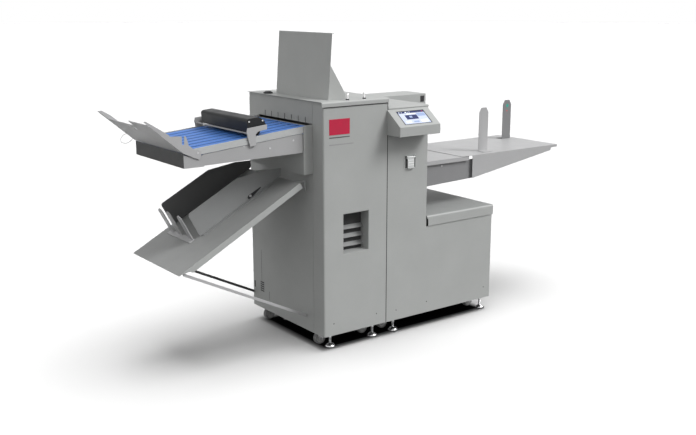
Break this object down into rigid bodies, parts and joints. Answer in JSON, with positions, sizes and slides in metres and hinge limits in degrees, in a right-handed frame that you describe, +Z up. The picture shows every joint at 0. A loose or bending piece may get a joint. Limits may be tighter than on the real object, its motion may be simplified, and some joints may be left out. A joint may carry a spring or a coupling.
{
  "type": "sheet creasing and folding machine",
  "caption": "Floor-standing automatic sheet creasing and folding machine with suction feed table, touch-screen console, belt conveyor and folded-sheet tray.",
  "frame": {"origin": "centre of the overall box on the floor", "axes": "+X along the paper path from the delivery end towards the feed table, +Y from the operator front towards the back, +Z up"},
  "size_m": [2.299, 0.692, 1.367],
  "materials": {
    "body_paint": "light grey satin powder coat",
    "frame_paint": "mid grey powder coat",
    "tray_paint": "light grey textured powder coat",
    "guide_paint": "mid grey powder coat",
    "bright_steel": "bright zinc or ground steel",
    "chromed": "bright plated",
    "rail_metal": "satin anodised",
    "belt_blue": "blue conveyor belting",
    "black_rubber": "matte rubber",
    "black_plastic": "fine moulded grain",
    "black_paint": "black satin paint",
    "badge_red": "gloss",
    "screen": "gloss touch screen",
    "pump_casting": "painted casting",
    "box_grey": "grey paint"
  },
  "bodies": {
    "machine": {"main_frame": "frame_paint", "main_front_panel": "body_paint", "main_rear_panel": "body_paint", "exit_end_panel": "body_paint", "exit_housing": "body_paint", "vent_louvres": "body_paint", "badge": "badge_red", "drive_motor": "black_paint", "drive_belt": "black_rubber", "control_box": "box_grey", "feeder_frame": "frame_paint", "feeder_front_panel": "body_paint", "feeder_rear_cover": "body_paint", "feeder_top_cover": "body_paint", "pump_bay_cover": "body_paint", "console_housing": "body_paint", "touch_screen": "screen", "latch_plate": "bright_steel", "rear_housing": "body_paint", "vacuum_pump": "pump_casting", "mains_inlet": "black_plastic", "conveyor_frame": "tray_paint", "conveyor_rails": "rail_metal", "conveyor_belts": "belt_blue", "fold_tray": "body_paint", "tray_struts": "bright_steel", "levelling_feet": "chromed", "castor_forks": "bright_steel", "panel_screws": "bright_steel"},
    "lid": {"top_lid": "body_paint", "sheet_tower": "body_paint", "lid_pegs": "chromed"},
    "gap_knob": {"gap_knob": "black_plastic"},
    "infeed_top": {"infeed_roller_top": "black_rubber"},
    "infeed_bottom": {"infeed_roller_bottom": "bright_steel"},
    "crease_blade": {"crease_blade": "bright_steel"},
    "fold_knife": {"fold_knife": "bright_steel"},
    "fold_left": {"fold_roller_left": "black_rubber"},
    "fold_right": {"fold_roller_right": "black_rubber"},
    "motor_pulley": {"motor_pulley": "bright_steel"},
    "suction_drum": {"suction_drum": "bright_steel"},
    "latch": {"latch_paddle": "bright_steel"},
    "rocker": {"rocker_switch": "black_plastic"},
    "table": {"feed_table": "tray_paint", "table_extension": "tray_paint"},
    "front_guide": {"front_side_guide": "tray_paint"},
    "rear_guide": {"rear_side_guide": "tray_paint"},
    "drive_roller": {"drive_roller": "bright_steel"},
    "tail_roller": {"tail_roller": "bright_steel"},
    "catch_tray": {"catch_tray": "tray_paint"},
    "pinch_unit": {"pinch_housing": "black_paint", "pinch_brackets": "tray_paint"},
    "pinch_wheels": {"pinch_wheels": "black_rubber"},
    "near_guide": {"near_guide": "guide_paint"},
    "far_guide": {"far_guide": "guide_paint"},
    "stop_fingers": {"stop_fingers": "tray_paint"},
    "castors_1": {"castor_wheels_1": "black_rubber"},
    "castors_2": {"castor_wheels_2": "black_rubber"},
    "castors_3": {"castor_wheels_3": "black_rubber"},
    "castors_4": {"castor_wheels_4": "black_rubber"}
  },
  "joints": [
    {"name": "lid_hinge", "type": "hinge", "parent": "machine", "child": "lid", "pos_m": [-0.22048, 0.341, 1.08], "axis": [-1, 0, 0], "range_deg": [0, 70]},
    {"name": "gap_knob_turn", "type": "hinge", "parent": "lid", "child": "gap_knob", "pos_m": [-0.36948, 0.203, 1.097], "axis": [0, 0, 1], "range_deg": [-150, 150]},
    {"name": "infeed_bottom_spin", "type": "hinge", "parent": "machine", "child": "infeed_bottom", "pos_m": [-0.12048, 0.0395, 0.9447], "axis": [0, 1, 0], "continuous": true},
    {"name": "infeed_top_spin", "type": "hinge", "parent": "machine", "child": "infeed_top", "pos_m": [-0.12048, 0.0395, 0.985], "axis": [0, 1, 0], "continuous": true},
    {"name": "crease_stroke", "type": "slide", "parent": "machine", "child": "crease_blade", "axis": [0, 0, 1], "range_m": [-0.019, 0]},
    {"name": "fold_stroke", "type": "slide", "parent": "machine", "child": "fold_knife", "axis": [0, 0, 1], "range_m": [-0.036, 0]},
    {"name": "fold_right_spin", "type": "hinge", "parent": "machine", "child": "fold_right", "pos_m": [-0.25788, 0.0395, 0.9], "axis": [0, 1, 0], "continuous": true},
    {"name": "fold_left_spin", "type": "hinge", "parent": "machine", "child": "fold_left", "pos_m": [-0.30248, 0.0395, 0.9], "axis": [0, 1, 0], "continuous": true},
    {"name": "motor_spin", "type": "hinge", "parent": "machine", "child": "motor_pulley", "pos_m": [-0.14548, 0.295, 0.7], "axis": [0, 1, 0], "continuous": true},
    {"name": "suction_drum_spin", "type": "hinge", "parent": "machine", "child": "suction_drum", "pos_m": [0.13752, 0.0395, 0.905], "axis": [0, 1, 0], "continuous": true},
    {"name": "latch_pull", "type": "hinge", "parent": "machine", "child": "latch", "pos_m": [0.08152, -0.262, 0.82], "axis": [-1, 0, 0], "range_deg": [0, 55], "stiffness_Nm_per_rad": 0.08},
    {"name": "rocker_tilt", "type": "hinge", "parent": "machine", "child": "rocker", "pos_m": [0.52152, 0.18, 1.015], "axis": [1, 0, 0], "range_deg": [-8, 8]},
    {"name": "table_lift", "type": "slide", "parent": "machine", "child": "table", "axis": [0, 0, 1], "range_m": [-0.09, 0.085]},
    {"name": "front_guide_slide", "type": "slide", "parent": "table", "child": "front_guide", "axis": [0, 1, 0], "range_m": [-0.025, 0.07]},
    {"name": "rear_guide_slide", "type": "slide", "parent": "table", "child": "rear_guide", "axis": [0, 1, 0], "range_m": [-0.07, 0.07]},
    {"name": "drive_roller_spin", "type": "hinge", "parent": "machine", "child": "drive_roller", "pos_m": [-0.41706, 0.0395, 0.97157], "axis": [0, 1, 0], "continuous": true},
    {"name": "tail_roller_spin", "type": "hinge", "parent": "machine", "child": "tail_roller", "pos_m": [-0.93093, 0.0395, 0.9248], "axis": [0, 1, 0], "continuous": true},
    {"name": "catch_tray_fold", "type": "hinge", "parent": "machine", "child": "catch_tray", "pos_m": [-0.93093, 0.0395, 0.9248], "axis": [0, 1, 0], "range_deg": [0, 35]},
    {"name": "pinch_slide", "type": "slide", "parent": "machine", "child": "pinch_unit", "axis": [0.9959, 0, 0.0906], "range_m": [-0.17, 0.09]},
    {"name": "pinch_wheels_spin", "type": "hinge", "parent": "pinch_unit", "child": "pinch_wheels", "pos_m": [-0.65319, 0.0395, 0.98442], "axis": [0, 1, 0], "continuous": true},
    {"name": "near_guide_slide", "type": "slide", "parent": "machine", "child": "near_guide", "axis": [0, 1, 0], "range_m": [-0.13, 0]},
    {"name": "far_guide_slide", "type": "slide", "parent": "machine", "child": "far_guide", "axis": [0, 1, 0], "range_m": [-0.03, 0]},
    {"name": "fingers_slide", "type": "slide", "parent": "machine", "child": "stop_fingers", "axis": [0.8829, 0, 0.4695], "range_m": [-0.09, 0.11]},
    {"name": "castors_1_roll", "type": "hinge", "parent": "machine", "child": "castors_1", "pos_m": [-0.34048, 0.0395, 0.029], "axis": [0, 1, 0], "continuous": true},
    {"name": "castors_2_roll", "type": "hinge", "parent": "machine", "child": "castors_2", "pos_m": [-0.10448, 0.0395, 0.029], "axis": [0, 1, 0], "continuous": true},
    {"name": "castors_3_roll", "type": "hinge", "parent": "machine", "child": "castors_3", "pos_m": [0.01252, 0.0395, 0.029], "axis": [0, 1, 0], "continuous": true},
    {"name": "castors_4_roll", "type": "hinge", "parent": "machine", "child": "castors_4", "pos_m": [0.56152, 0.0395, 0.029], "axis": [0, 1, 0], "continuous": true}
  ],
  "couplings": [
    {"joint": "infeed_top_spin", "follows": "infeed_bottom_spin", "ratio": -1},
    {"joint": "fold_left_spin", "follows": "fold_right_spin", "ratio": -1},
    {"joint": "motor_spin", "follows": "fold_right_spin", "ratio": 1.5},
    {"joint": "tail_roller_spin", "follows": "drive_roller_spin", "ratio": 1},
    {"joint": "pinch_wheels_spin", "follows": "drive_roller_spin", "ratio": -0.88333}
  ]
}
